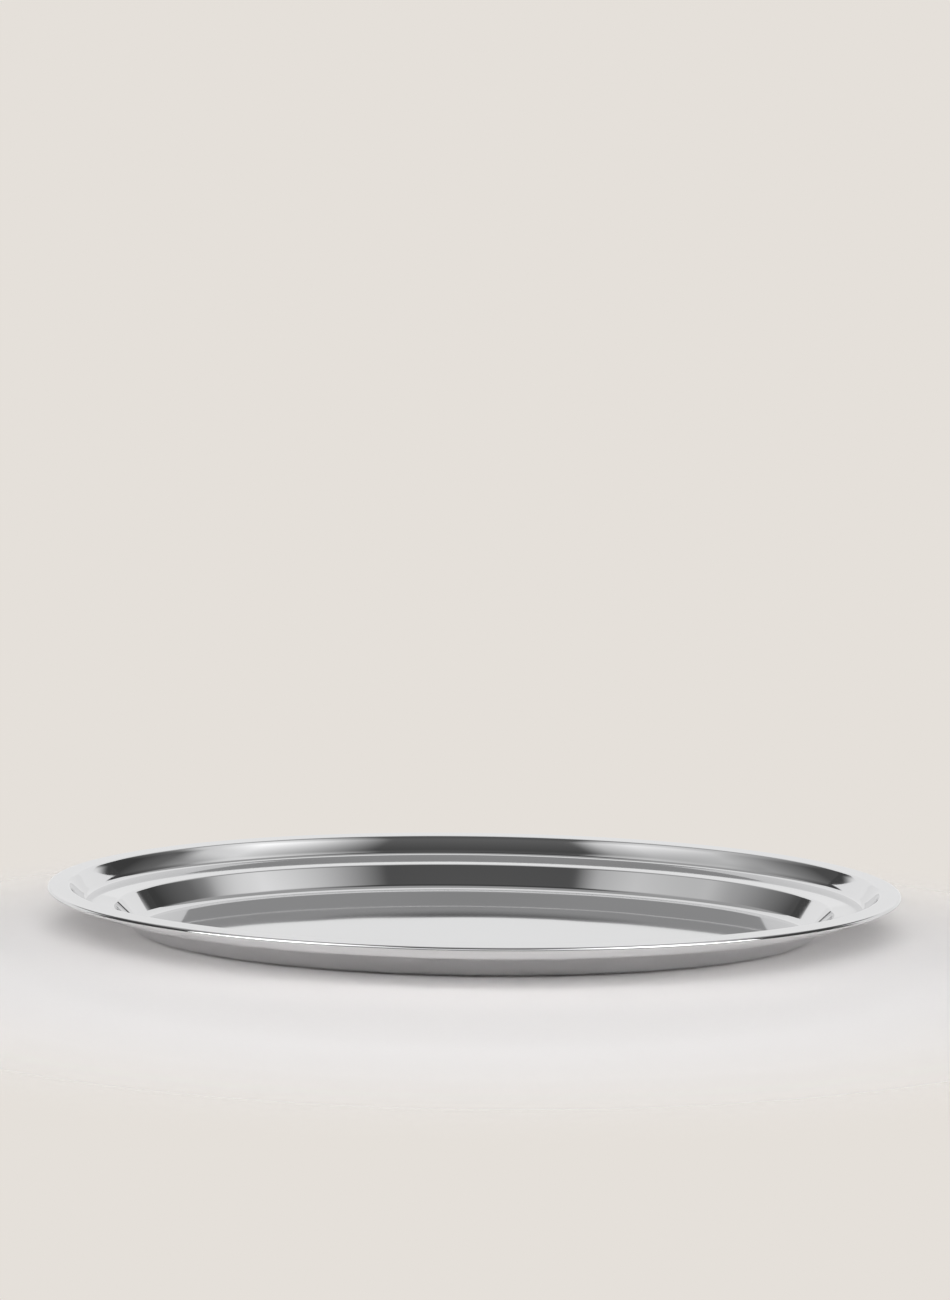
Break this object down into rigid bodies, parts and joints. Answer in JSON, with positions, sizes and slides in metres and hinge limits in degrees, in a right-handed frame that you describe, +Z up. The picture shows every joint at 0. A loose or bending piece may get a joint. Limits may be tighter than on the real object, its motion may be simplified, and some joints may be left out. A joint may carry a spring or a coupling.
{
  "type": "serving tray",
  "caption": "Low oval metal serving tray with a flat lip, a sloped step, a ledge and a shallow flat-floored well; its edge is rolled round a stiffening wire.",
  "frame": {"origin": "middle of the underside of the floor, on the surface the tray stands on", "axes": "+X along the tray's length, +Y across its width, +Z up out of the well"},
  "size_m": [0.45, 0.29, 0.0254],
  "materials": {
    "polished_steel": "mirror-polished stainless steel",
    "wire_steel": "drawn stainless steel wire"
  },
  "bodies": {
    "root": {"tray_sheet": "polished_steel", "rim_wire": "wire_steel"}
  },
  "joints": []
}
